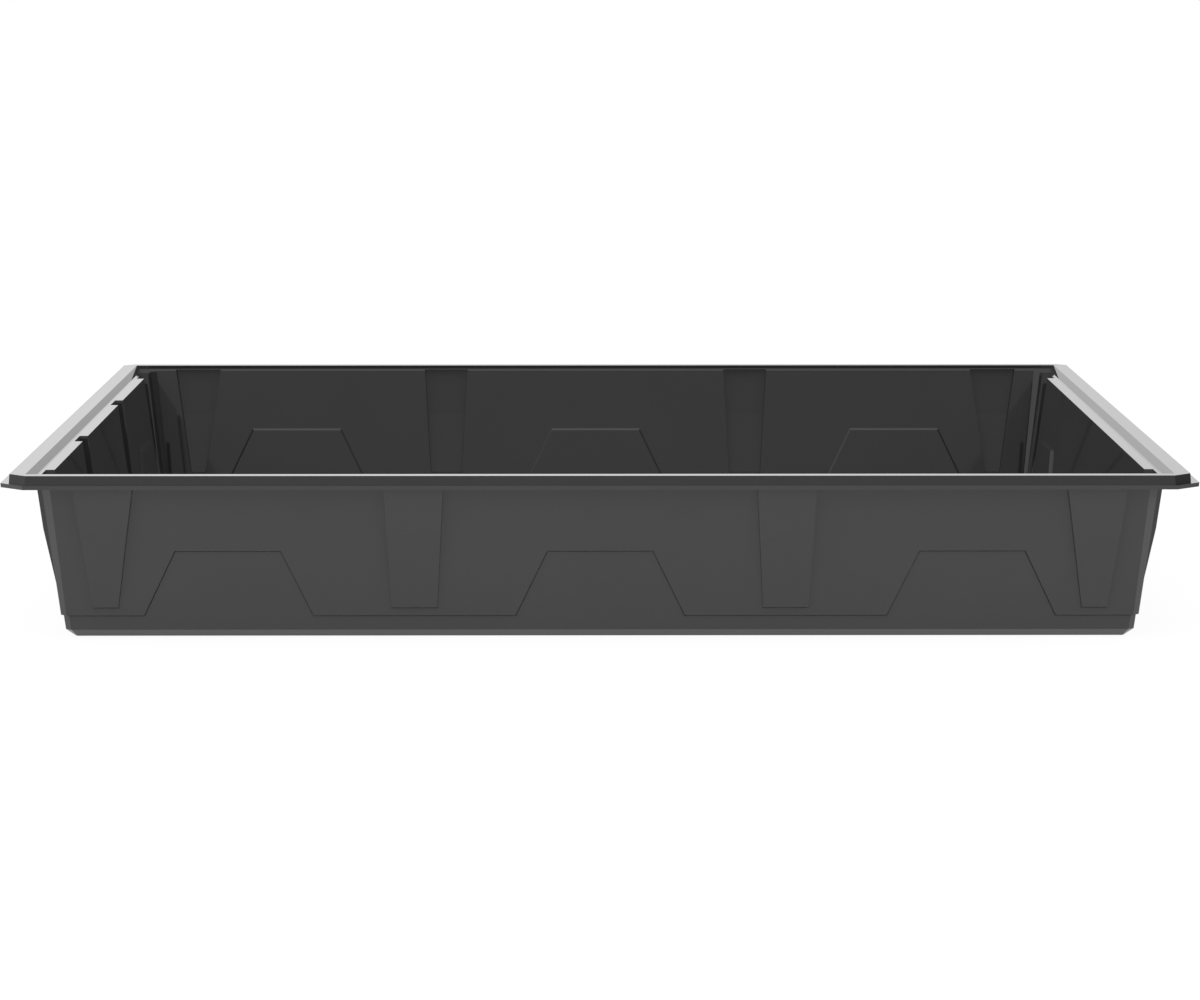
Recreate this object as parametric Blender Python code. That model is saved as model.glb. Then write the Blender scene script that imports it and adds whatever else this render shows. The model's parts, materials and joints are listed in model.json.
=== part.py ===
# Flood tray for growing plants in water: a moulded black tray about 1.3 by 1.26 m with a stepped rim,
# drafted walls with upright ribs and trapezoid panels, a floor of raised lands, and two fittings
# through its right end: a fill and drain with its pickup turned down, and an overflow turned up.
# Metres, +Z up, front towards -Y, origin at the middle of the base.
import math

import bmesh
import bpy
from mathutils import Matrix, Vector

# The tray as a whole
HEIGHT = 0.1815
LIP_WIDTH = 1.277
LIP_DEPTH = 1.260
SHEET = 0.0042

# Rim: a turned-down lip with a trimmed flange, and a sunk ledge along each end
LIP_DROP = 0.0152
LIP_LEAN = 0.0010
LIP_CORNER_FRONT = 0.0193
LIP_CORNER_BACK = 0.0131
FLANGE_THICK = 0.0046
FLANGE_OUT = 0.0108
FLANGE_PROUD = 0.0003
FLANGE_CORNER = 0.0265
FLANGE_EDGE_DRAFT = 0.0005
END_FLAT = 0.0175
LEDGE_DROP = 0.0076
LEDGE_SLOPE = 0.0052
FRONT_FLAT = 0.0165
FRONT_STEP = 0.0044

# Walls: plain drafted planes, set back under the rim, with a recessed foot band and a base chamfer
END_SETBACK = 0.0319
FRONT_SETBACK = 0.0138
DRAFT_DEG = 7.0
WALL_CORNER = 0.0100
STEP_CORNER = 0.0065
FOOT_CORNER = 0.0015
STEP_LOW = 0.0234
STEP_HIGH = 0.0246
RECESS = 0.0026
FOOT_HIGH = 0.0082
FOOT_IN = 0.0105
# Share of an offset that a mitred edge of about 45 degrees moves along its neighbour
MITRE = 0.414

# Upright ribs: proud outside, hollow inside, fading into the wall at their foot
SIDE_BAY_INSET = 0.2345
END_BAY_INSET = 0.2260
RIB_LOW = 0.0310
RIB_KINK = 0.1155
RIB_PROUD_TOP = 0.0096
RIB_PROUD_KINK = 0.0098
RIB_PROUD_LOW = 0.0036
RIB_WIDTH_TOP = 0.0668
RIB_WIDTH_LOW = 0.0513
END_RIB_WIDTH_LOW = 0.0463
RIB_FLANK = 0.0008
RIB_FOOT_RISE = 0.0030
CORNER_RIB_INSET = 0.0691
END_CORNER_RIB_INSET = 0.0767
CORNER_RIB_WIDTH_TOP = 0.0695
CORNER_RIB_WIDTH_LOW = 0.0291
POCKET_ROOF = 0.0055

# Trapezoid panels, one in the middle of each bay, a little wider and softer on the inside
PANEL_HIGH = 0.0959
PANEL_WIDTH_TOP = 0.1145
PANEL_WIDTH_LOW = 0.1845
PANEL_FLANK = 0.0012
PANEL_FLANK_INSIDE = 0.0024
PANEL_SPREAD_INSIDE = 0.0020

# Floor: raised lands in two banks, with a drain channel between them
LAND_RISE = 0.012
LAND_SLOPE = 0.008
LAND_WIDTH = 0.064
LAND_PITCH = 0.092
LAND_COUNT = 11
LAND_CORNER = 0.014
CHANNEL_WIDTH = 0.110
GUTTER_WIDTH = 0.045

# Fittings through the middle panel of the right end
FITTING_Z = 0.045
FITTING_SPACING = 0.084
BORE_R = 0.0068
SHANK_R = 0.0135
SOCKET_R = 0.0105
SOCKET_DEPTH = 0.012
BULKHEAD_FLANGE_R = 0.020
BULKHEAD_FLANGE_THICK = 0.004
GASKET_R = 0.0192
GASKET_THICK = 0.002
NUT_ACROSS_FLATS = 0.036
NUT_THICK = 0.008
NUT_COLLAR_THICK = 0.002
TAIL_LENGTH = 0.028
TAIL_NECK = 0.007
TAIL_R = 0.0092
BARB_RISE = 0.0012
BARB_COUNT = 3
HEX_SIDES = 6

# Swivel elbow, its seal and the slotted screen on its end
ELBOW_R = 0.0102
ELBOW_COLLAR_R = 0.0130
ELBOW_COLLAR_THICK = 0.003
ELBOW_BEND_R = 0.0132
ELBOW_LEG = 0.009
SEAL_SECTION = 0.0016
SEAL_IN = 0.0050
SCREEN_WALL = 0.0020
SCREEN_GRIP = 0.0075
SCREEN_REACH = 0.009
SCREEN_END = 0.0018
SCREEN_SLOT_WIDTH = 0.0022
SCREEN_SLOTS = 5
SCREEN_HOLE_R = 0.0025

# Clearance between pieces that touch
GAP = 0.0003
# How far a cutter runs past the face that it cuts
PAST = 0.004
ROUND_SIDES = 24
BEND_STEPS = 6
SEAL_SIDES = 8

DRAFT = math.radians(DRAFT_DEG)


# Scene and mesh helpers

def clear_scene():
    for obj in list(bpy.data.objects):
        bpy.data.objects.remove(obj, do_unlink=True)


def plastic(name, colour, roughness):
    material = bpy.data.materials.new(name)
    material.use_nodes = True
    shader = material.node_tree.nodes["Principled BSDF"]
    shader.inputs["Base Color"].default_value = (*colour, 1.0)
    shader.inputs["Roughness"].default_value = roughness
    shader.inputs["Metallic"].default_value = 0.0
    return material


def to_object(name, bm, material=None, parent=None):
    bmesh.ops.recalc_face_normals(bm, faces=bm.faces)
    mesh = bpy.data.meshes.new(name)
    bm.to_mesh(mesh)
    bm.free()
    obj = bpy.data.objects.new(name, mesh)
    bpy.context.scene.collection.objects.link(obj)
    obj.parent = parent
    if material:
        mesh.materials.append(material)
    return obj


def add_loft(bm, sections):
    """Skins a run of closed outlines with as many points each, and caps both ends."""
    rings = [[bm.verts.new(point) for point in section] for section in sections]
    for low, high in zip(rings, rings[1:]):
        for i in range(len(low)):
            j = (i + 1) % len(low)
            bm.faces.new((low[i], low[j], high[j], high[i]))
    bm.faces.new(reversed(rings[0]))
    bm.faces.new(rings[-1])


def lofts(name, solids):
    bm = bmesh.new()
    for sections in solids:
        add_loft(bm, sections)
    return to_object(name, bm)


def combine(target, tool, operation):
    """Joins or cuts target with tool, and removes the tool."""
    modifier = target.modifiers.new(operation, "BOOLEAN")
    modifier.operation = operation
    modifier.solver = "EXACT"
    modifier.object = tool
    graph = bpy.context.evaluated_depsgraph_get()
    mesh = bpy.data.meshes.new_from_object(target.evaluated_get(graph))
    target.modifiers.clear()
    mesh.materials.clear()
    for material in target.data.materials:
        mesh.materials.append(material)
    target.data = mesh
    bpy.data.objects.remove(tool, do_unlink=True)


def octagon(half_x, half_y, corner, z, back_corner=None):
    """A rectangle with cut corners, at one height. Its back corners may have a cut of their own."""
    points = []
    for sx, sy in ((1, 1), (-1, 1), (-1, -1), (1, -1)):
        cut = back_corner if back_corner and sy > 0 else corner
        along_x = Vector((sx * (half_x - cut), sy * half_y, z))
        along_y = Vector((sx * half_x, sy * (half_y - cut), z))
        points += [along_y, along_x] if sx * sy > 0 else [along_x, along_y]
    return points


# Tray form

def wall_x(z):
    """Half width of the plain end walls, outside, at height z."""
    return LIP_WIDTH / 2 - END_SETBACK - (HEIGHT - z) * math.tan(DRAFT)


def wall_y(z):
    """Half depth of the plain front and back walls, outside, at height z."""
    return LIP_DEPTH / 2 - FRONT_SETBACK - (HEIGHT - z) * math.tan(DRAFT)


def on_wall(side, along, out, z):
    """A point at a distance out from the tray's middle, towards one of its four sides."""
    return {
        "front": Vector((along, -out, z)),
        "back": Vector((along, out, z)),
        "left": Vector((-out, along, z)),
        "right": Vector((out, along, z)),
    }[side]


def wall_at(side, z):
    return wall_y(z) if side in ("front", "back") else wall_x(z)


def body_sections(inset, top):
    """Outline of the tray without ribs, panels or lands, moved in by inset."""
    shift = MITRE * inset
    trim = inset - shift
    foot, low, high = FOOT_HIGH + shift, STEP_LOW + shift, STEP_HIGH + shift
    levels = [
        (inset, RECESS + FOOT_IN + shift, FOOT_HIGH, FOOT_CORNER),
        (foot, RECESS + inset, foot, STEP_CORNER - trim),
        (low, RECESS + inset, low, STEP_CORNER - trim),
        (high, inset, high, STEP_CORNER - trim),
        (top, inset, top, WALL_CORNER - trim),
    ]
    return [octagon(wall_x(at) - back, wall_y(at) - back, corner, z) for z, back, at, corner in levels]


def rib_sections(side, centre, width_top, width_low, inset, top):
    """One upright rib between its foot and top, with drafted sides and a foot that rises outwards."""
    low = RIB_LOW + inset
    width_kink = width_low + (width_top - width_low) * (RIB_KINK - RIB_LOW) / (HEIGHT - RIB_LOW)
    proud_top = RIB_PROUD_TOP + (RIB_PROUD_KINK - RIB_PROUD_TOP) * (HEIGHT - top) / (HEIGHT - RIB_KINK)
    sections = []
    for z, width, proud, rise in (
        (low, width_low, RIB_PROUD_LOW, RIB_FOOT_RISE),
        (RIB_KINK, width_kink, RIB_PROUD_KINK, 0.0),
        (top, width_top, proud_top, 0.0),
    ):
        inner = wall_at(side, z) - inset - PAST
        outer = wall_at(side, z + rise) - inset + proud
        half = width / 2 - inset
        face = half - RIB_FLANK
        sections.append([
            on_wall(side, centre - half, inner, z),
            on_wall(side, centre + half, inner, z),
            on_wall(side, centre + face, outer, z + rise),
            on_wall(side, centre - face, outer, z + rise),
        ])
    return sections


def corner_rib_centre(side):
    """Distance of a corner rib's centre from the wall's middle."""
    if side in ("front", "back"):
        return wall_x(HEIGHT) - CORNER_RIB_INSET
    return wall_y(HEIGHT) - END_CORNER_RIB_INSET


def bay(side):
    """Spacing of a wall's panels, set from its corners; the middle ribs stand halfway between panels."""
    if side in ("front", "back"):
        return LIP_WIDTH / 2 - SIDE_BAY_INSET
    return LIP_DEPTH / 2 - END_BAY_INSET


def ribs(side, inset, top):
    """A wall's corner ribs and, but for the right end, which is plain there, its two middle ribs."""
    corner = corner_rib_centre(side)
    places = [(c, CORNER_RIB_WIDTH_TOP, CORNER_RIB_WIDTH_LOW) for c in (-corner, corner)]
    if side != "right":
        low = END_RIB_WIDTH_LOW if side == "left" else RIB_WIDTH_LOW
        places += [(c, RIB_WIDTH_TOP, low) for c in (-bay(side) / 2, bay(side) / 2)]
    return [rib_sections(side, *place, inset, top) for place in places]


def panel_sections(side, centre, inset):
    """Cutter that sinks one trapezoid panel to the depth of the foot band, with flanks that open outwards."""
    through = inset / SHEET
    spread = PANEL_SPREAD_INSIDE * through
    flank = PANEL_FLANK + (PANEL_FLANK_INSIDE - PANEL_FLANK) * through
    slope = (PANEL_WIDTH_LOW - PANEL_WIDTH_TOP) / 2 / (PANEL_HIGH - STEP_LOW)
    sections = []
    for level, opens in ((STEP_LOW + MITRE * inset, 0.0), (PANEL_HIGH, 1.0)):
        corners = []
        for depth in (-RECESS, RECESS):
            wider = flank * (depth / RECESS + 0.5)
            z = level + opens * wider
            half = PANEL_WIDTH_TOP / 2 + slope * (PANEL_HIGH - z) + spread + wider
            corners.append((half, wall_at(side, z) - inset + depth, z))
        (half_in, inner, z_in), (half_out, outer, z_out) = corners
        sections.append([
            on_wall(side, centre - half_in, inner, z_in),
            on_wall(side, centre + half_in, inner, z_in),
            on_wall(side, centre + half_out, outer, z_out),
            on_wall(side, centre - half_out, outer, z_out),
        ])
    return sections


def land_sections(inset):
    """Raised lands of the floor, in a front and a back bank of bars."""
    inner_y = CHANNEL_WIDTH / 2
    outer_y = wall_y(FOOT_HIGH) - RECESS - FOOT_IN - GUTTER_WIDTH
    centre_y, half_y = (inner_y + outer_y) / 2, (outer_y - inner_y) / 2
    top_x = LAND_WIDTH / 2 + MITRE * inset - LAND_SLOPE
    top_y = half_y + MITRE * inset - LAND_SLOPE
    # The flank carries on below the floor's face, so that the cut opens there
    flank = LAND_SLOPE * (LAND_RISE + PAST) / LAND_RISE
    solids = []
    for i in range(LAND_COUNT):
        x = (i - (LAND_COUNT - 1) / 2) * LAND_PITCH
        for y in (-centre_y, centre_y):
            place = Vector((x, y, 0))
            low = octagon(top_x + flank, top_y + flank, LAND_CORNER, inset - PAST)
            high = octagon(top_x, top_y, LAND_CORNER, inset + LAND_RISE)
            solids.append([[place + p for p in low], [place + p for p in high]])
    return solids


def moulded_form(name, inset, top, rib_tops):
    """The tray's solid form moved in by inset: the outside at 0, the hollow at the sheet's thickness."""
    form = lofts(name, [body_sections(inset, top)])
    for side, rib_top in rib_tops.items():
        combine(form, lofts("ribs", ribs(side, inset, rib_top)), "UNION")
    panels = [panel_sections(side, c, inset) for side in rib_tops for c in (-bay(side), 0.0, bay(side))]
    combine(form, lofts("panels", panels), "DIFFERENCE")
    combine(form, lofts("lands", land_sections(inset)), "DIFFERENCE")
    return form


def lip_half(z, inset):
    """Half width and half depth of the lip, which leans outwards as it drops, moved in by inset."""
    lean = LIP_LEAN * (HEIGHT - z) / LIP_DROP
    return LIP_WIDTH / 2 + lean - inset, LIP_DEPTH / 2 + lean - inset


def lip_outline(z, inset):
    trim = (1 - MITRE) * inset
    return octagon(*lip_half(z, inset), LIP_CORNER_FRONT - trim, z, LIP_CORNER_BACK - trim)


def rim_block():
    """Solid rim: the lip and the flange below it, before it is hollowed."""
    low = HEIGHT - LIP_DROP
    lip = [lip_outline(z, 0.0) for z in (low + FLANGE_THICK / 2, HEIGHT)]
    half_x, half_y = LIP_WIDTH / 2 + FLANGE_OUT, LIP_DEPTH / 2 + LIP_LEAN + FLANGE_PROUD
    flange = [
        octagon(half_x - FLANGE_EDGE_DRAFT, half_y - FLANGE_EDGE_DRAFT, FLANGE_CORNER, low),
        octagon(half_x, half_y, FLANGE_CORNER, low + FLANGE_THICK),
    ]
    rim = lofts("rim", [lip])
    combine(rim, lofts("flange", [flange]), "UNION")
    return rim


def rim_hollows():
    """Space under the rim: flat under the lip's top, lower under the sunk ledges of the ends."""
    low = HEIGHT - LIP_DROP - PAST
    under_flat = HEIGHT - SHEET
    under_ledge = HEIGHT - LEDGE_DROP - SHEET
    flat_x = LIP_WIDTH / 2 - END_FLAT + MITRE * SHEET
    ledge_x = flat_x - LEDGE_SLOPE
    lip_x, lip_y = lip_half(under_flat, SHEET)
    front_y, back_y = LIP_CORNER_FRONT - lip_y, lip_y - LIP_CORNER_BACK
    inner_y = wall_y(HEIGHT) - PAST
    solids = [[lip_outline(low, SHEET), lip_outline(under_ledge, SHEET)]]
    for side in (-1, 1):
        along_end, along_side = [], []
        for z, inner_x in ((under_ledge, ledge_x), (under_flat, flat_x)):
            outer_x = lip_half(z, SHEET)[0]
            outline = ((inner_x, front_y), (outer_x, front_y), (outer_x, back_y), (inner_x, back_y))
            along_end.append([Vector((side * x, y, z)) for x, y in outline])
        end_x = lip_x - (LIP_CORNER_BACK if side > 0 else LIP_CORNER_FRONT)
        for z in (under_ledge, under_flat):
            outer_y = lip_half(z, SHEET)[1]
            outline = ((-end_x, inner_y), (end_x, inner_y), (end_x, outer_y), (-end_x, outer_y))
            along_side.append([Vector((x, side * y, z)) for x, y in outline])
        solids += [along_end, along_side]
    return solids


def mouth_sections():
    """Opening through the rim: a step along the front and back, a slope to a ledge along the ends."""
    ledge = HEIGHT - LEDGE_DROP
    flat_x = LIP_WIDTH / 2 - END_FLAT
    flat_y = LIP_DEPTH / 2 - FRONT_FLAT
    # The slanted strip below the step runs just into the hollow, so that it meets the wall
    strip_y = wall_y(ledge) - SHEET - 2 * GAP
    levels = [
        (ledge, flat_x - LEDGE_SLOPE, strip_y),
        (HEIGHT - FRONT_STEP, flat_x - LEDGE_SLOPE * FRONT_STEP / LEDGE_DROP, flat_y),
        (HEIGHT, flat_x, flat_y),
        (HEIGHT + PAST, flat_x, flat_y),
    ]
    corners = ((-1, -1), (1, -1), (1, 1), (-1, 1))
    return [[Vector((sx * x, sy * y, z)) for sx, sy in corners] for z, x, y in levels]


def make_tray(material):
    rim_under = HEIGHT - SHEET
    tray = rim_block()
    for hollow in rim_hollows():
        combine(tray, lofts("hollow", [hollow]), "DIFFERENCE")
    sides = ("front", "back", "left", "right")
    outside = moulded_form("outside", 0.0, rim_under, {side: rim_under for side in sides})
    combine(tray, outside, "UNION")
    roof, ledge = HEIGHT - POCKET_ROOF, HEIGHT - LEDGE_DROP + GAP
    tops = {"front": roof, "back": roof, "left": ledge, "right": ledge}
    hollow = moulded_form("hollow", SHEET, HEIGHT - LEDGE_DROP + GAP, tops)
    combine(tray, hollow, "DIFFERENCE")
    combine(tray, lofts("mouth", [mouth_sections()]), "DIFFERENCE")
    for spot in fitting_spots().values():
        combine(tray, cylinder("hole", SHANK_R + GAP, -PAST, wall_thickness() + PAST, spot), "DIFFERENCE")
    tray.name = tray.data.name = "tray"
    tray.data.materials.clear()
    tray.data.materials.append(material)


# Fittings

def wall_thickness():
    """Thickness of the sloping wall, square to its face."""
    return SHEET * math.cos(DRAFT)


def fitting_spots():
    """Frames of the two fittings: origin on the panel's inner face, Z out of the tray, X up the wall."""
    out = Vector((math.cos(DRAFT), 0, -math.sin(DRAFT)))
    up = Vector((math.sin(DRAFT), 0, math.cos(DRAFT)))
    across = out.cross(up)
    turn = Matrix((up, across, out)).transposed().to_4x4()
    x = wall_x(FITTING_Z) - RECESS - SHEET
    return {
        name: Matrix.Translation((x, y, FITTING_Z)) @ turn
        for name, y in (("drain", -FITTING_SPACING / 2), ("overflow", FITTING_SPACING / 2))
    }


def cylinder(name, radius, low, high, place):
    bm = bmesh.new()
    ring = [Vector((radius * math.cos(a), radius * math.sin(a), 0)) for a in turns(ROUND_SIDES)]
    add_loft(bm, [[place @ (p + Vector((0, 0, z))) for p in ring] for z in (low, high)])
    return to_object(name, bm)


def turns(count):
    return [2 * math.pi * i / count for i in range(count)]


def straight(s):
    return Vector((0, 0, s)), Vector((1, 0, 0)), Vector((0, 1, 0))


def pipe(name, profile, material=None, parent=None, path=straight, sides=ROUND_SIDES):
    """Turns a closed outline of (radius, place along the path) into a ring-shaped solid."""
    bm = bmesh.new()
    rings = []
    for radius, s in profile:
        centre, u, v = path(s)
        around = [math.cos(a) * u + math.sin(a) * v for a in turns(sides)]
        rings.append([bm.verts.new(centre + radius * spoke) for spoke in around])
    for ring, following in zip(rings, rings[1:] + rings[:1]):
        for i in range(sides):
            j = (i + 1) % sides
            bm.faces.new((ring[i], ring[j], following[j], following[i]))
    obj = to_object(name, bm, material, parent)
    obj.data.shade_smooth()
    obj.data.set_sharp_from_angle(angle=math.radians(35))
    return obj


def flange_face():
    """Place of the bulkhead's inner face on its axis."""
    return -(2 * GAP + GASKET_THICK + BULKHEAD_FLANGE_THICK)


def make_bulkhead(name, material, parent):
    """Flanged body: a socket inside the tray, a shank through the wall, a barbed tail outside."""
    face = flange_face()
    back = -(2 * GAP + GASKET_THICK)
    shank_end = wall_thickness() + GAP + NUT_COLLAR_THICK + NUT_THICK + GAP
    tail_end = shank_end + TAIL_LENGTH
    outside = [(BULKHEAD_FLANGE_R, face), (BULKHEAD_FLANGE_R, back), (SHANK_R, back), (SHANK_R, shank_end)]
    outside += [(TAIL_R, shank_end), (TAIL_R, shank_end + TAIL_NECK)]
    barb = (TAIL_LENGTH - TAIL_NECK) / BARB_COUNT
    for i in range(BARB_COUNT):
        start = shank_end + TAIL_NECK + barb * i
        outside += [(TAIL_R + BARB_RISE, start), (TAIL_R, start + barb)]
    seat = face + SOCKET_DEPTH
    bore = [(BORE_R, tail_end), (BORE_R, seat), (SOCKET_R, seat), (SOCKET_R, face)]
    return pipe(name, outside + bore, material, parent)


def make_gasket(name, material, parent):
    inner = SHANK_R + GAP
    low, high = -(GAP + GASKET_THICK), -GAP
    return pipe(name, [(inner, low), (GASKET_R, low), (GASKET_R, high), (inner, high)], material, parent)


def make_lock_nut(name, material, parent):
    """Hexagon nut with a round collar against the wall, on the outside."""
    inner = SHANK_R + GAP
    low = wall_thickness() + GAP
    top = low + NUT_COLLAR_THICK + NUT_THICK
    collar = NUT_ACROSS_FLATS / 2
    corner = collar / math.cos(math.pi / HEX_SIDES)
    nut = pipe(name, [(inner, low), (collar, low), (collar, top), (inner, top)], material, parent)
    bm = bmesh.new()
    ring = [Vector((corner * math.cos(a), corner * math.sin(a), 0)) for a in turns(HEX_SIDES)]
    add_loft(bm, [[p + Vector((0, 0, z)) for p in ring] for z in (low + NUT_COLLAR_THICK, top)])
    hexagon = to_object("hexagon", bm, parent=parent)
    combine(hexagon, bored(parent, inner, low - PAST, top + PAST), "DIFFERENCE")
    combine(nut, hexagon, "UNION")
    return nut


def bored(parent, radius, low, high):
    cutter = cylinder("bore", radius, low, high, Matrix())
    cutter.parent = parent
    return cutter


def elbow_path(turn_up):
    """Path of an elbow: straight along the fitting's axis into the tray, then up or down the wall."""
    face = flange_face()
    start = -(face - GAP - ELBOW_COLLAR_THICK)
    arc = math.pi / 2 * ELBOW_BEND_R
    way = Vector((1 if turn_up else -1, 0, 0))
    side = Vector((0, 1, 0))
    inward = Vector((0, 0, -1))

    def path(s):
        if s <= start:
            centre, ahead = inward * s, inward
        elif s <= start + arc:
            a = (s - start) / ELBOW_BEND_R
            centre = inward * (start + ELBOW_BEND_R * math.sin(a)) + way * ELBOW_BEND_R * (1 - math.cos(a))
            ahead = inward * math.cos(a) + way * math.sin(a)
        else:
            centre = inward * (start + ELBOW_BEND_R) + way * (ELBOW_BEND_R + s - start - arc)
            ahead = way
        return centre, side.cross(ahead), side

    return path, start, start + arc, start + arc + ELBOW_LEG


def make_elbow(name, material, parent, turn_up):
    """Swivel elbow: a spigot with a seal groove, a collar against the flange, and a bent leg."""
    path, bend, leg, end = elbow_path(turn_up)
    face = -flange_face()
    spigot = face - SOCKET_DEPTH + GAP
    groove_half = SEAL_SECTION / 2 + GAP
    groove_low, groove_high = face - SEAL_IN - groove_half, face - SEAL_IN + groove_half
    groove_r = SOCKET_R - GAP - SEAL_SECTION - GAP
    collar_low = face + GAP
    arc = [bend + (leg - bend) * i / BEND_STEPS for i in range(1, BEND_STEPS)]
    outside = [(ELBOW_R, spigot), (ELBOW_R, groove_low), (groove_r, groove_low), (groove_r, groove_high),
               (ELBOW_R, groove_high), (ELBOW_R, collar_low), (ELBOW_COLLAR_R, collar_low),
               (ELBOW_COLLAR_R, bend), (ELBOW_R, bend)]
    outside += [(ELBOW_R, s) for s in arc + [leg, end]]
    bore = [(BORE_R, s) for s in [end, leg] + arc[::-1] + [bend, spigot]]
    return pipe(name, outside + bore, material, parent, path)


def make_seal(name, material, parent):
    """Rubber ring in the elbow's groove."""
    place = flange_face() + SEAL_IN
    radius = SEAL_SECTION / 2
    middle = SOCKET_R - GAP - radius
    profile = [(middle + radius * math.cos(a), place + radius * math.sin(a)) for a in turns(SEAL_SIDES)]
    return pipe(name, profile, material, parent)


def make_screen(name, material, parent, turn_up):
    """Slotted cup pushed over the end of the elbow's leg, with a shoulder against the leg's end."""
    path, bend, leg, end = elbow_path(turn_up)
    grip_r = ELBOW_R + GAP
    outer = grip_r + SCREEN_WALL
    shoulder_r = grip_r - SCREEN_WALL
    low, seat, tip = end - SCREEN_GRIP, end + GAP, end + SCREEN_REACH
    floor = tip - SCREEN_END
    profile = [(grip_r, low), (outer, low), (outer, tip), (SCREEN_HOLE_R, tip), (SCREEN_HOLE_R, floor),
               (shoulder_r, floor), (shoulder_r, seat), (grip_r, seat)]
    screen = pipe(name, profile, material, parent, path)
    slot_low, slot_high = seat + SCREEN_WALL, floor
    for i in range(SCREEN_SLOTS):
        angle = math.pi * i / SCREEN_SLOTS
        combine(screen, slot_cutter(parent, path, angle, outer + PAST, slot_low, slot_high), "DIFFERENCE")
    return screen


def slot_cutter(parent, path, angle, reach, low, high):
    """A flat bar across the cup, which opens a slot on each side of it."""
    half = SCREEN_SLOT_WIDTH / 2
    sections = []
    for s in (low, high):
        centre, u, v = path(s)
        along = u * math.cos(angle) + v * math.sin(angle)
        across = v * math.cos(angle) - u * math.sin(angle)
        sections.append([centre + along * a + across * b for a, b in (
            (-reach, -half), (reach, -half), (reach, half), (-reach, half))])
    cutter = lofts("slot", [sections])
    cutter.parent = parent
    return cutter


def make_fitting(name, place, materials, turn_up):
    spot = bpy.data.objects.new(name + "_spot", None)
    bpy.context.scene.collection.objects.link(spot)
    spot.matrix_world = place
    bpy.context.view_layer.update()
    make_bulkhead(name + "_bulkhead", materials["bulkhead"], spot)
    make_gasket(name + "_gasket", materials["rubber"], spot)
    make_lock_nut(name + "_lock_nut", materials["lock_nut"], spot)
    make_elbow(name + "_elbow", materials["elbow"], spot, turn_up)
    make_seal(name + "_elbow_seal", materials["rubber"], spot)
    make_screen(name + "_screen", materials["screen"], spot, turn_up)


def main():
    clear_scene()
    make_tray(plastic("tray_black", (0.030, 0.030, 0.030), 0.45))
    materials = {
        "bulkhead": plastic("bulkhead_black", (0.022, 0.022, 0.024), 0.40),
        "lock_nut": plastic("lock_nut_black", (0.026, 0.026, 0.028), 0.42),
        "elbow": plastic("elbow_grey", (0.060, 0.062, 0.066), 0.40),
        "screen": plastic("screen_grey", (0.110, 0.114, 0.120), 0.45),
        "rubber": plastic("seal_rubber", (0.015, 0.015, 0.015), 0.75),
    }
    for name, place in fitting_spots().items():
        make_fitting(name, place, materials, name == "overflow")


main()
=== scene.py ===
import json
import math

import bpy
from mathutils import Matrix, Vector


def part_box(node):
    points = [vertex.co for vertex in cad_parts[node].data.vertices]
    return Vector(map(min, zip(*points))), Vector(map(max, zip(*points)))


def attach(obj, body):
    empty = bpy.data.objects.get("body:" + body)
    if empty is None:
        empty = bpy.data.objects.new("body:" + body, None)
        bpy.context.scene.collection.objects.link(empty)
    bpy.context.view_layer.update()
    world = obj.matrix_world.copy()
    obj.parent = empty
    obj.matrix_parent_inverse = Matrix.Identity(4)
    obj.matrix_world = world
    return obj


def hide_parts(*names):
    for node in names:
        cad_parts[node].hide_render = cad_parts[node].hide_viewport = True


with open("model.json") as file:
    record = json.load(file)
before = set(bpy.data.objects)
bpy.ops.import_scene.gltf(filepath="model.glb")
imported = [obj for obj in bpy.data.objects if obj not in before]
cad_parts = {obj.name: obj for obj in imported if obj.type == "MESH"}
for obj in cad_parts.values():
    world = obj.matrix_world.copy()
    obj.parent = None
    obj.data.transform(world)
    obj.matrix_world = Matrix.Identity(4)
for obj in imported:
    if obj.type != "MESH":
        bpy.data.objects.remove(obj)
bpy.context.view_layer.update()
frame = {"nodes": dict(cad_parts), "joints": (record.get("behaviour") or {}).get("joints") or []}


# The tray is one sheet of black high-impact polystyrene, vacuum-formed into a mould, with its rim trimmed
# afterwards. Ribs, panels and floor lands are pressed into the same sheet and show on both of its faces.

def linear(hex_colour):
    """The linear colour of an sRGB hex value."""
    values = [int(hex_colour[i:i + 2], 16) / 255 for i in (1, 3, 5)]
    return tuple(v / 12.92 if v <= 0.04045 else ((v + 0.055) / 1.055) ** 2.4 for v in values) + (1.0,)


def add_node(tree, kind, settings=None, **inputs):
    """Adds a node with its settings, and sets or links its inputs, by name or as i0, i1 by place."""
    node = tree.nodes.new(kind)
    for key, value in (settings or {}).items():
        setattr(node, key, value)
    for key, value in inputs.items():
        by_place = key[0] == "i" and key[1:].isdigit()
        socket = node.inputs[int(key[1:]) if by_place else key.replace("_", " ")]
        if isinstance(value, bpy.types.NodeSocket):
            tree.links.new(value, socket)
        else:
            socket.default_value = value
    return node


def new_material(name):
    """A new material with an empty node tree."""
    material = bpy.data.materials.new(name)
    material.use_nodes = True
    material.node_tree.nodes.clear()
    return material


# Vacuum-formed polystyrene sheet: near black, with the mirror gloss of the sheet's own skin. Wide soft clouds
# show where the hot sheet was stretched, and a very shallow ripple follows the sheet's thickness.
SHEET_BLACK = "#2a2a2a"
SHEET_STRETCHED = "#2e2e2e"
SHEET_IOR = 1.54
SHEET_CLOUD_MM = 70.0
SHEET_CLOUD_DETAIL = 3.0
SHEET_CLOUD_ROUGHNESS = 0.55
SHEET_GLOSS = (0.03, 0.05)
SHEET_RIPPLE_MM = 9.0
SHEET_RIPPLE_DETAIL = 1.0
SHEET_RIPPLE_DEEP_MM = 0.002
MM_PER_M = 1000
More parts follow.
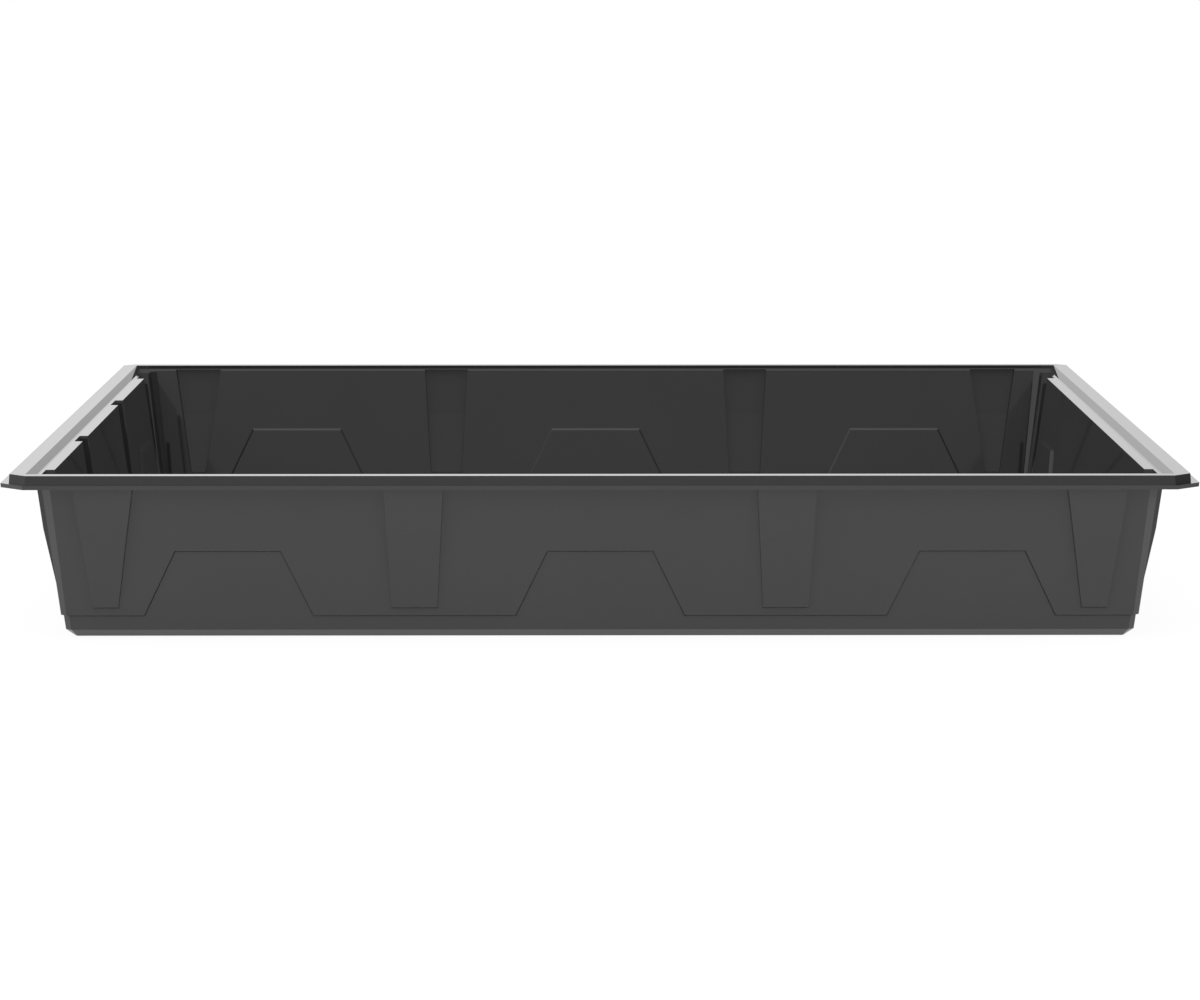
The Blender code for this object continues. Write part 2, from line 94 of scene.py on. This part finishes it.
# The part of a noise texture's range that most of its values lie in
NOISE_SPAN = (0.3, 0.7)

tray_plastic = new_material("vacuum_formed_black_polystyrene")
tree = tray_plastic.node_tree
place = add_node(tree, "ShaderNodeTexCoord").outputs["Object"]
clouds = add_node(tree, "ShaderNodeTexNoise", Vector=place, Scale=MM_PER_M / SHEET_CLOUD_MM,
                  Detail=SHEET_CLOUD_DETAIL, Roughness=SHEET_CLOUD_ROUGHNESS)
ripple = add_node(tree, "ShaderNodeTexNoise", Vector=place, Scale=MM_PER_M / SHEET_RIPPLE_MM,
                  Detail=SHEET_RIPPLE_DETAIL)
colour = add_node(tree, "ShaderNodeMix", {"data_type": "RGBA"}, i0=clouds.outputs["Fac"],
                  i6=linear(SHEET_BLACK), i7=linear(SHEET_STRETCHED))
gloss = add_node(tree, "ShaderNodeMapRange", Value=clouds.outputs["Fac"], From_Min=NOISE_SPAN[0],
                 From_Max=NOISE_SPAN[1], To_Min=SHEET_GLOSS[0], To_Max=SHEET_GLOSS[1])
skin = add_node(tree, "ShaderNodeBump", Strength=1.0, Distance=SHEET_RIPPLE_DEEP_MM / MM_PER_M,
                Height=ripple.outputs["Fac"])
shader = add_node(tree, "ShaderNodeBsdfPrincipled", Base_Color=colour.outputs[2], Roughness=gloss.outputs[0],
                  IOR=SHEET_IOR, Normal=skin.outputs[0])
add_node(tree, "ShaderNodeOutputMaterial", Surface=shader.outputs[0])
slots = frame["nodes"]["tray"].data.materials
slots.clear()
slots.append(tray_plastic)


# The corner webs are part of the same moulding: in each corner of the mouth, a short slanting strip of sheet
# joins the end's sunk ledge to the rim. They carry on the strip that runs along the front and the back.

def pick(piece):
    """Selects one object alone and makes it active."""
    bpy.ops.object.select_all(action="DESELECT")
    piece.select_set(True)
    bpy.context.view_layer.objects.active = piece


def copy_of(model, name):
    """A copy of a model, selected and active."""
    pick(model)
    bpy.ops.object.duplicate()
    piece = bpy.context.object
    piece.name = name
    return piece


# From the middle of the tray, in x and in y
WEB_ALONG = (0.5940, 0.6190)
WEB_ACROSS = (0.6112, 0.6150)
WEB_THICK = 0.0016
# How far the upper face's inner edge lies below the rim, and how far the face climbs to its outer edge
WEB_DROP = 0.0070
WEB_CLIMB = 0.00405

rim_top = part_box("tray")[1][2]
web_long, web_wide = WEB_ALONG[1] - WEB_ALONG[0], WEB_ACROSS[1] - WEB_ACROSS[0]
web_middle = Vector((sum(WEB_ALONG) / 2, sum(WEB_ACROSS) / 2, rim_top - WEB_DROP - WEB_THICK / 2))
bpy.ops.mesh.primitive_cube_add(size=1.0, scale=(web_long, web_wide, WEB_THICK), location=web_middle)
bpy.ops.object.transform_apply(location=True, rotation=True, scale=True)
web = bpy.context.object
web.data.materials.append(tray_plastic)
bpy.ops.object.mode_set(mode="EDIT")
bpy.ops.mesh.select_all(action="DESELECT")
bpy.ops.object.mode_set(mode="OBJECT")
for corner in web.data.vertices:
    corner.select = corner.co.y > web_middle.y
bpy.ops.object.mode_set(mode="EDIT")
bpy.ops.transform.translate(value=(0, 0, WEB_CLIMB))
bpy.ops.object.mode_set(mode="OBJECT")
for end, x_sign in (("left", -1), ("right", 1)):
    for side, y_sign in (("front", -1), ("back", 1)):
        piece = copy_of(web, f"{side}_{end}_corner_web")
        piece.scale = (x_sign, y_sign, 1)
        bpy.ops.object.transform_apply(location=True, rotation=True, scale=True)
        bpy.ops.object.mode_set(mode="EDIT")
        bpy.ops.mesh.select_all(action="SELECT")
        bpy.ops.mesh.normals_make_consistent(inside=False)
        bpy.ops.object.mode_set(mode="OBJECT")
        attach(piece, "tray")
bpy.data.objects.remove(web)


# The bulkheads are injection-moulded in black polypropylene: a flange with a raised bead inside the tray,
# a shank through the wall, and a barbed tail that a hose is pushed over. A nut outside holds them.

def carry_ring(move, grow, centre):
    """Extrudes the selected ring by a move, and resizes it around its new centre."""
    bpy.ops.mesh.extrude_region_move(TRANSFORM_OT_translate={"value": move})
    bpy.ops.transform.resize(value=(grow, grow, grow), center_override=centre)


def start_ring(name, radius, height):
    """A new object with one ring of vertices, in edit mode."""
    bpy.ops.object.select_all(action="DESELECT")
    bpy.ops.mesh.primitive_circle_add(vertices=ROUND_SIDES, radius=radius, location=(0, 0, height))
    bpy.ops.object.transform_apply(location=True, rotation=True, scale=True)
    bpy.context.object.name = name
    bpy.ops.object.mode_set(mode="EDIT")
    bpy.ops.mesh.select_all(action="SELECT")


def close_skin():
    """Joins the last ring to the first, turns the faces outwards and leaves edit mode."""
    bpy.ops.mesh.select_all(action="SELECT")
    bpy.ops.mesh.remove_doubles(threshold=MERGE)
    bpy.ops.mesh.normals_make_consistent(inside=False)
    bpy.ops.object.mode_set(mode="OBJECT")
    return bpy.context.object


def follow(radius, height, outline):
    """Carries a ring round the Z axis on through an outline of (radius, height)."""
    for next_radius, next_height in outline:
        carry_ring((0, 0, next_height - height), next_radius / radius, (0, 0, next_height))
        radius, height = next_radius, next_height


def turned(name, outline):
    """Turns a closed outline of (radius, height) round the Z axis, ring by ring."""
    start_ring(name, *outline[0])
    follow(*outline[0], outline[1:] + outline[:1])
    return close_skin()


def shade(piece):
    """Shades a piece smooth between its sharp edges."""
    pick(piece)
    bpy.ops.object.shade_smooth_by_angle(angle=SHARP)


def round_edges(piece, radius):
    """Rounds the sharp edges of a piece."""
    bevel = piece.modifiers.new("rounding", "BEVEL")
    bevel.width = radius
    bevel.segments = ROUND_STEPS
    bevel.limit_method = "ANGLE"
    bevel.angle_limit = SHARP
    bpy.context.view_layer.objects.active = piece
    bpy.ops.object.modifier_apply(modifier=bevel.name)
    shade(piece)


def fit_both(model, node, form, rides_on, material):
    """Copies a model into both fittings, where the drain's is turned to point down, and removes it."""
    model.data.materials.clear()
    model.data.materials.append(material)
    for fitting, joint in swivels.items():
        out = Vector(joint["axis"])
        up = out.cross(Vector((0, 1, 0))) * (1 if fitting == "overflow" else -1)
        turn = Matrix((up, out.cross(up), out)).transposed().to_4x4()
        piece = copy_of(model, f"{fitting}_{form}")
        piece.matrix_world = Matrix.Translation(joint["pos_m"]) @ turn
        bpy.ops.object.transform_apply(location=True, rotation=True, scale=True)
        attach(piece, rides_on if rides_on == "tray" else f"{fitting}_{rides_on}")
        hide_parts(f"{fitting}_{node}")
    bpy.data.objects.remove(model)


def moulded(name, dark, pale, ior, gloss, flow_mm, grain_mm, grain_deep_mm):
    """Injection-moulded plastic: faint flow marks in its colour and gloss, and a fine mould grain."""
    material = new_material(name)
    tree = material.node_tree
    place = add_node(tree, "ShaderNodeTexCoord").outputs["Object"]
    flow = add_node(tree, "ShaderNodeTexNoise", Vector=place, Scale=MM_PER_M / flow_mm, Detail=FLOW_DETAIL,
                    Distortion=FLOW_SWIRL)
    grain = add_node(tree, "ShaderNodeTexNoise", Vector=place, Scale=MM_PER_M / grain_mm, Detail=GRAIN_DETAIL)
    colour = add_node(tree, "ShaderNodeMix", {"data_type": "RGBA"}, i0=flow.outputs["Fac"],
                      i6=linear(dark), i7=linear(pale))
    dull = add_node(tree, "ShaderNodeMapRange", Value=flow.outputs["Fac"], From_Min=NOISE_SPAN[0],
                    From_Max=NOISE_SPAN[1], To_Min=gloss[0], To_Max=gloss[1])
    skin = add_node(tree, "ShaderNodeBump", Strength=1.0, Distance=grain_deep_mm / MM_PER_M,
                    Height=grain.outputs["Fac"])
    shader = add_node(tree, "ShaderNodeBsdfPrincipled", Base_Color=colour.outputs[2],
                      Roughness=dull.outputs[0], IOR=ior, Normal=skin.outputs[0])
    add_node(tree, "ShaderNodeOutputMaterial", Surface=shader.outputs[0])
    return material


swivels = {joint["name"].split("_")[0]: joint for joint in frame["joints"] if joint["type"] == "hinge"}
FLOW_DETAIL = 3.0
FLOW_SWIRL = 0.6
GRAIN_DETAIL = 2.0
ROUND_SIDES = 64
ROUND_STEPS = 3
# Vertices closer than this become one
MERGE = 0.000002
SHARP = math.radians(30)
# Clearance between neighbouring pieces
GAP = 0.0003
# The sheet's thickness, measured level
SHEET_THICK = 0.0042
BORE_R = 0.0068
SOCKET_R = 0.0105
SOCKET_DEPTH = 0.012
SHANK_R = 0.0135
FLANGE_R = 0.020
FLANGE_THICK = 0.004
FLANGE_BEAD_WIDTH = 0.0026
FLANGE_BEAD_RISE = 0.0008
GASKET_THICK = 0.002
NUT_COLLAR_THICK = 0.002
NUT_THICK = 0.008
TAIL_R = 0.0092
TAIL_NECK = 0.007
BARB_LENGTH = 0.007
BARB_RISE = 0.0012
BARB_COUNT = 3
MOULD_EDGE = 0.0004

# Heights run along a fitting's axis, square to the leaning wall, and start at the wall's inner face
wall_thick = SHEET_THICK * swivels["drain"]["axis"][0]
flange_back = -(2 * GAP + GASKET_THICK)
flange_face = flange_back - FLANGE_THICK
shank_end = wall_thick + 2 * GAP + NUT_COLLAR_THICK + NUT_THICK
tail_end = shank_end + TAIL_NECK + BARB_COUNT * BARB_LENGTH
bead_r = FLANGE_R - FLANGE_BEAD_WIDTH
outline = [(bead_r, flange_face + FLANGE_BEAD_RISE), (bead_r, flange_face), (FLANGE_R, flange_face),
           (FLANGE_R, flange_back), (SHANK_R, flange_back), (SHANK_R, shank_end), (TAIL_R, shank_end)]
for i in range(BARB_COUNT):
    barb = shank_end + TAIL_NECK + BARB_LENGTH * i
    outline += [(TAIL_R, barb), (TAIL_R + BARB_RISE, barb)]
outline += [(TAIL_R, tail_end), (BORE_R, tail_end), (BORE_R, flange_face + SOCKET_DEPTH),
            (SOCKET_R, flange_face + SOCKET_DEPTH), (SOCKET_R, flange_face + FLANGE_BEAD_RISE)]
bulkhead = turned("bulkhead", outline)
round_edges(bulkhead, MOULD_EDGE)
# Polypropylene from a lightly sparked mould: black, with a soft sheen
bulkhead_plastic = moulded("injection_moulded_black_polypropylene", dark="#232324", pale="#29292a", ior=1.49,
                           gloss=(0.34, 0.44), flow_mm=14.0, grain_mm=0.5, grain_deep_mm=0.010)
fit_both(bulkhead, "bulkhead", "bulkhead_body", "tray", bulkhead_plastic)


# The gaskets are washers of soft black rubber, moulded with round edges. Each is squeezed between its
# bulkhead's flange and the inside of the wall, and seals the hole.
GASKET_R = 0.0192
GASKET_EDGE = 0.0007

hole_r = SHANK_R + GAP
low, high = -(GAP + GASKET_THICK), -GAP
gasket = turned("gasket", [(hole_r, low), (GASKET_R, low), (GASKET_R, high), (hole_r, high)])
round_edges(gasket, GASKET_EDGE)
# Moulded rubber: matt and nearly black, with a faint grey bloom on its skin
rubber = moulded("moulded_black_rubber", dark="#1a1a1a", pale="#262626", ior=1.52,
                 gloss=(0.60, 0.78), flow_mm=5.0, grain_mm=0.4, grain_deep_mm=0.015)
fit_both(gasket, "gasket", "gasket_washer", "tray", rubber)


# The lock nuts are black nylon, moulded as a chamfered hexagon on a round collar. Each is screwed on to its
# bulkhead's shank from outside, until the collar presses on the wall.

def combine(piece, tool, operation):
    """Joins, cuts or trims a piece with a tool, and removes the tool."""
    modifier = piece.modifiers.new("combined", "BOOLEAN")
    modifier.operation = operation
    modifier.object = tool
    bpy.context.view_layer.objects.active = piece
    bpy.ops.object.modifier_apply(modifier=modifier.name)
    bpy.data.objects.remove(tool)


NUT_SIDES = 6
NUT_FLAT_R = 0.018
NUT_CHAMFER = 0.0022
# How far the collar runs into the hexagon
NUT_OVERLAP = 0.0004
NUT_EDGE = 0.0006
# How far a cutter runs past the face that it cuts
PAST = 0.002

low = wall_thick + GAP
seat = low + NUT_COLLAR_THICK
top = seat + NUT_THICK
corner_r = NUT_FLAT_R / math.cos(math.pi / NUT_SIDES)
bpy.ops.object.select_all(action="DESELECT")
bpy.ops.mesh.primitive_cylinder_add(vertices=NUT_SIDES, radius=corner_r, depth=NUT_THICK + 2 * PAST,
                                    location=(0, 0, (seat + top) / 2), rotation=(0, 0, math.pi / NUT_SIDES))
bpy.ops.object.transform_apply(location=True, rotation=True, scale=True)
lock_nut = bpy.context.object
round_edges(lock_nut, NUT_EDGE)
barrel_r = corner_r + PAST
slope = (corner_r - NUT_FLAT_R) / NUT_CHAMFER
barrel = turned("barrel", [(hole_r, seat), (barrel_r, seat), (barrel_r, top - NUT_CHAMFER + PAST / slope),
                           (NUT_FLAT_R, top), (hole_r, top)])
combine(lock_nut, barrel, "INTERSECT")
collar_hole = hole_r + NUT_OVERLAP
collar = turned("collar", [(collar_hole, low), (NUT_FLAT_R, low), (NUT_FLAT_R, seat + NUT_OVERLAP),
                           (collar_hole, seat + NUT_OVERLAP)])
combine(lock_nut, collar, "UNION")
shade(lock_nut)
# Nylon from a polished mould: black, a little glossier than the bulkhead
nut_plastic = moulded("injection_moulded_black_nylon", dark="#262627", pale="#2c2c2d", ior=1.53,
                      gloss=(0.28, 0.38), flow_mm=11.0, grain_mm=0.6, grain_deep_mm=0.008)
fit_both(lock_nut, "lock_nut", "lock_nut_hexagon", "tray", nut_plastic)


# The swivel elbows are dark grey rigid vinyl. A spigot with a seal groove turns in the bulkhead's socket,
# a fluted collar is there to turn it by, and the bent leg points down in the drain and up in the overflow.
ELBOW_R = 0.0102
COLLAR_R = 0.0130
COLLAR_THICK = 0.003
FLUTES = 12
FLUTE_SIDES = 16
FLUTE_R = 0.0016
FLUTE_OUT = 0.0010
BEND_R = 0.0132
BEND_STEPS = 18
BEND_TURN = math.pi / 2
LEG = 0.009
SEAL_SECTION = 0.0016
SEAL_IN = 0.0050
ELBOW_EDGE = 0.00025

spigot_end = flange_face + SOCKET_DEPTH - GAP
seal_at = flange_face + SEAL_IN
groove_half = SEAL_SECTION / 2 + GAP
groove_r = SOCKET_R - 2 * GAP - SEAL_SECTION
collar_face = flange_face - GAP
bend_start = collar_face - COLLAR_THICK
bend_centre = Vector((BEND_R, 0, bend_start))
leg_end = Vector((BEND_R + LEG, 0, bend_start - BEND_R))
start_ring("elbow", ELBOW_R, spigot_end)
follow(ELBOW_R, spigot_end, [
    (ELBOW_R, seal_at + groove_half), (groove_r, seal_at + groove_half), (groove_r, seal_at - groove_half),
    (ELBOW_R, seal_at - groove_half), (ELBOW_R, collar_face), (COLLAR_R, collar_face),
    (COLLAR_R, bend_start), (ELBOW_R, bend_start)])
bpy.ops.mesh.spin(steps=BEND_STEPS, angle=BEND_TURN, center=bend_centre, axis=(0, 1, 0))
carry_ring((LEG, 0, 0), 1.0, leg_end)
carry_ring((0, 0, 0), BORE_R / ELBOW_R, leg_end)
carry_ring((-LEG, 0, 0), 1.0, leg_end)
bpy.ops.mesh.spin(steps=BEND_STEPS, angle=-BEND_TURN, center=bend_centre, axis=(0, 1, 0))
carry_ring((0, 0, spigot_end - bend_start), 1.0, (0, 0, spigot_end))
carry_ring((0, 0, 0), ELBOW_R / BORE_R, (0, 0, spigot_end))
elbow = close_skin()
ring_r = COLLAR_R + FLUTE_OUT
for i in range(FLUTES):
    angle = 2 * math.pi * (i + 0.5) / FLUTES
    flute_at = (ring_r * math.cos(angle), ring_r * math.sin(angle), collar_face - COLLAR_THICK / 2)
    bpy.ops.mesh.primitive_cylinder_add(vertices=FLUTE_SIDES, radius=FLUTE_R, depth=COLLAR_THICK + PAST,
                                        location=flute_at)
    combine(elbow, bpy.context.object, "DIFFERENCE")
round_edges(elbow, ELBOW_EDGE)
# Rigid vinyl from a polished mould: dark grey with a satin gloss
elbow_plastic = moulded("injection_moulded_grey_vinyl", dark="#414246", pale="#48494d", ior=1.53,
                        gloss=(0.26, 0.36), flow_mm=9.0, grain_mm=0.5, grain_deep_mm=0.008)
fit_both(elbow, "elbow", "elbow_bend", "elbow", elbow_plastic)


# The elbow seals are rubber rings of round section, each rolled into the groove of its elbow's spigot.
# They seal the socket and let the elbow turn.
SEAL_SIDES = 16

middle_r = SOCKET_R - GAP - SEAL_SECTION / 2
turns = [2 * math.pi * i / SEAL_SIDES for i in range(SEAL_SIDES)]
seal = turned("seal", [(middle_r + SEAL_SECTION / 2 * math.cos(a), seal_at + SEAL_SECTION / 2 * math.sin(a))
                       for a in turns])
bpy.ops.object.shade_smooth()
fit_both(seal, "elbow_seal", "elbow_seal_ring", "elbow", rubber)


# The screens are grey polyethylene cups, pushed over the ends of the elbows' legs. Ten slots round the side
# and a hole in the end keep roots and grit out of the pipe. They pull off to be cleaned.
SCREEN_WALL = 0.0020
SCREEN_GRIP = 0.0075
SCREEN_REACH = 0.009
SCREEN_END = 0.0018
SCREEN_HOLE_R = 0.0025
SLOT_WIDTH = 0.0022
SLOT_PAIRS = 5
SCREEN_EDGE = 0.00025

grip_r = ELBOW_R + GAP
outer_r = grip_r + SCREEN_WALL
shoulder_r = grip_r - SCREEN_WALL
cup_floor = SCREEN_REACH - SCREEN_END
screen = turned("screen", [(grip_r, -SCREEN_GRIP), (outer_r, -SCREEN_GRIP), (outer_r, SCREEN_REACH),
                           (SCREEN_HOLE_R, SCREEN_REACH), (SCREEN_HOLE_R, cup_floor), (shoulder_r, cup_floor),
                           (shoulder_r, GAP), (grip_r, GAP)])
slot_low = GAP + SCREEN_WALL
for i in range(SLOT_PAIRS):
    bpy.ops.mesh.primitive_cube_add(size=1.0, location=(0, 0, (slot_low + cup_floor) / 2),
                                    rotation=(0, 0, math.pi * i / SLOT_PAIRS),
                                    scale=(2 * outer_r + PAST, SLOT_WIDTH, cup_floor - slot_low))
    combine(screen, bpy.context.object, "DIFFERENCE")
round_edges(screen, SCREEN_EDGE)
screen.rotation_euler = (0, math.pi / 2, 0)
screen.location = leg_end
bpy.ops.object.transform_apply(location=True, rotation=True, scale=True)
# Polyethylene: mid grey and waxy, with a soft sheen
screen_plastic = moulded("injection_moulded_grey_polyethylene", dark="#5a5b5e", pale="#626366", ior=1.51,
                         gloss=(0.38, 0.50), flow_mm=8.0, grain_mm=0.6, grain_deep_mm=0.012)
fit_both(screen, "screen", "screen_cup", "screen", screen_plastic)


# The floor is a sheet of pale seamless paper. The camera and reflections see most of it as plain white, and
# the share that is lit keeps the tray's soft shadow. In reflections the white ends to the right of the tray.
FLOOR_SIZE = 14.0
FLOOR_BELOW = 0.0005
FLOOR_PALE = "#d0d0d0"
FLOOR_WHITE = 1.04
FLOOR_WHITE_SHARE = 0.9
FLOOR_WHITE_ENDS = (1.05, 1.30)
FLOOR_DIM = 0.1

bpy.ops.mesh.primitive_plane_add(size=FLOOR_SIZE, location=(0, 0, -FLOOR_BELOW))
floor = bpy.context.object
floor.name = "floor"
floor_sheet = new_material("pale_seamless_paper")
tree = floor_sheet.node_tree
path = add_node(tree, "ShaderNodeLightPath")
lit = add_node(tree, "ShaderNodeBsdfDiffuse", Color=linear(FLOOR_PALE))
place = add_node(tree, "ShaderNodeTexCoord").outputs["Object"]
across = add_node(tree, "ShaderNodeSeparateXYZ", Vector=place)
fading = add_node(tree, "ShaderNodeMapRange", Value=across.outputs["X"], From_Min=FLOOR_WHITE_ENDS[0],
                  From_Max=FLOOR_WHITE_ENDS[1], To_Min=1.0, To_Max=FLOOR_DIM)
direct = add_node(tree, "ShaderNodeMath", {"operation": "MAXIMUM"}, i0=path.outputs["Is Camera Ray"],
                  i1=path.outputs["Is Transmission Ray"])
shown = add_node(tree, "ShaderNodeMath", {"operation": "MAXIMUM"}, i0=direct.outputs[0], i1=fading.outputs[0])
strength = add_node(tree, "ShaderNodeMath", {"operation": "MULTIPLY"}, i0=shown.outputs[0], i1=FLOOR_WHITE)
white = add_node(tree, "ShaderNodeEmission", Strength=strength.outputs[0])
seen = add_node(tree, "ShaderNodeMath", {"operation": "MAXIMUM"}, i0=direct.outputs[0],
                i1=path.outputs["Is Glossy Ray"])
share = add_node(tree, "ShaderNodeMath", {"operation": "MULTIPLY"}, i0=seen.outputs[0], i1=FLOOR_WHITE_SHARE)
mixed = add_node(tree, "ShaderNodeMixShader", i0=share.outputs[0], i1=lit.outputs[0], i2=white.outputs[0])
add_node(tree, "ShaderNodeOutputMaterial", Surface=mixed.outputs[0])
floor.data.materials.append(floor_sheet)


# The studio is a white room with soft light all round, brighter above the horizon behind the tray and dimmer
# on the right. A soft light from above is left out of reflections. The camera sees plain white.
FRONT_LIGHT = 0.54
BACK_RISE = 0.70
RIGHT_DIMMER = 0.86
HORIZON_TOP = 0.14
OVERHEAD = 1.1
OVERHEAD_FROM = (0.25, 0.50)
PLAIN_WHITE = (1.0, 1.0, 1.0, 1.0)

world = bpy.data.worlds.new("studio")
bpy.context.scene.world = world
world.use_nodes = True
tree = world.node_tree
tree.nodes.clear()
path = add_node(tree, "ShaderNodeLightPath")
way = add_node(tree, "ShaderNodeTexCoord").outputs["Generated"]
towards = add_node(tree, "ShaderNodeSeparateXYZ", Vector=way)
behind = add_node(tree, "ShaderNodeMapRange", Value=towards.outputs["Y"], From_Min=-1.0, From_Max=1.0,
                  To_Min=0.0, To_Max=BACK_RISE)
high = add_node(tree, "ShaderNodeMapRange", {"interpolation_type": "SMOOTHSTEP"}, Value=towards.outputs["Z"],
                From_Min=0.0, From_Max=HORIZON_TOP, To_Min=0.0, To_Max=1.0)
right = add_node(tree, "ShaderNodeMapRange", Value=towards.outputs["X"], From_Min=0.0, From_Max=1.0,
                 To_Min=1.0, To_Max=1.0 - RIGHT_DIMMER)
around = add_node(tree, "ShaderNodeMath", {"operation": "MULTIPLY_ADD"}, i0=behind.outputs[0],
                  i1=high.outputs[0], i2=FRONT_LIGHT)
above = add_node(tree, "ShaderNodeMapRange", {"interpolation_type": "SMOOTHSTEP"}, Value=towards.outputs["Z"],
                 From_Min=OVERHEAD_FROM[0], From_Max=OVERHEAD_FROM[1], To_Min=0.0, To_Max=OVERHEAD)
matt = add_node(tree, "ShaderNodeMath", {"operation": "SUBTRACT"}, i0=1.0, i1=path.outputs["Is Glossy Ray"])
soft = add_node(tree, "ShaderNodeMath", {"operation": "MULTIPLY"}, i0=above.outputs[0], i1=matt.outputs[0])
level = add_node(tree, "ShaderNodeMath", {"operation": "MULTIPLY_ADD"}, i0=around.outputs[0],
                 i1=right.outputs[0], i2=soft.outputs[0])
room = add_node(tree, "ShaderNodeBackground", Color=PLAIN_WHITE, Strength=level.outputs[0])
white = add_node(tree, "ShaderNodeBackground", Color=PLAIN_WHITE, Strength=1.0)
seen = add_node(tree, "ShaderNodeMath", {"operation": "MAXIMUM"}, i0=path.outputs["Is Camera Ray"],
                i1=path.outputs["Is Transmission Ray"])
mixed = add_node(tree, "ShaderNodeMixShader", i0=seen.outputs[0], i1=room.outputs[0], i2=white.outputs[0])
add_node(tree, "ShaderNodeOutputWorld", Surface=mixed.outputs[0])


# The camera stands well in front and a little above the rim, with a long lens. Its place and its turn were
# worked out from the corners of the rim and of the base.
LENS_MM = 133.14
SENSOR_MM = 36.0
CAMERA_AT = (-0.0254, -5.3741, 0.7564)
PITCH_DEG = 7.2226
YAW_DEG = -0.3018

turn = (math.radians(90 - PITCH_DEG), 0, math.radians(YAW_DEG))
bpy.ops.object.camera_add(location=CAMERA_AT, rotation=turn)
camera = bpy.context.object
camera.data.lens = LENS_MM
camera.data.sensor_width = SENSOR_MM
camera.data.sensor_fit = "HORIZONTAL"
bpy.context.scene.camera = camera
bpy.context.scene.view_settings.view_transform = "Standard"
